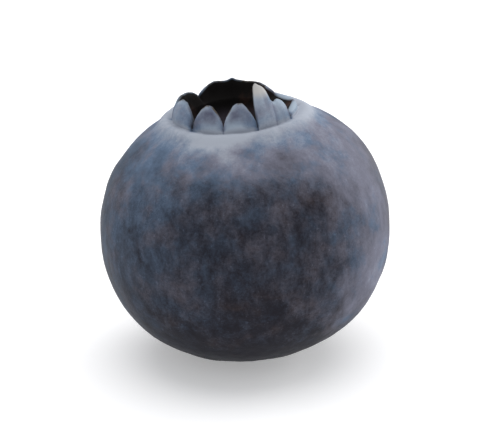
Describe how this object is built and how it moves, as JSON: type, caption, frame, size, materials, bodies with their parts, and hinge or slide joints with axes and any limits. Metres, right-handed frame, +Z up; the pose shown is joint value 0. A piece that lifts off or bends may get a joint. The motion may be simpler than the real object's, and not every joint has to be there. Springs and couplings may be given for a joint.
{
  "type": "blueberry",
  "caption": "Ripe blueberry standing on its stem end: a round dark blue fruit with pale bloom, an open crown of dried calyx lobes on top and a stem scar below.",
  "frame": {"origin": "on the surface that the berry rests on, below the middle of its box", "axes": "+Z up, out of the resting spot towards the crown; +X to the right and +Y away as the picture shows the berry"},
  "size_m": [0.0166, 0.0162, 0.0169],
  "materials": {
    "skin": "dark blue skin under a pale, uneven waxy bloom, with dry brown-black inner faces in the crown"
  },
  "bodies": {
    "root": {"berry": "skin"}
  },
  "joints": []
}
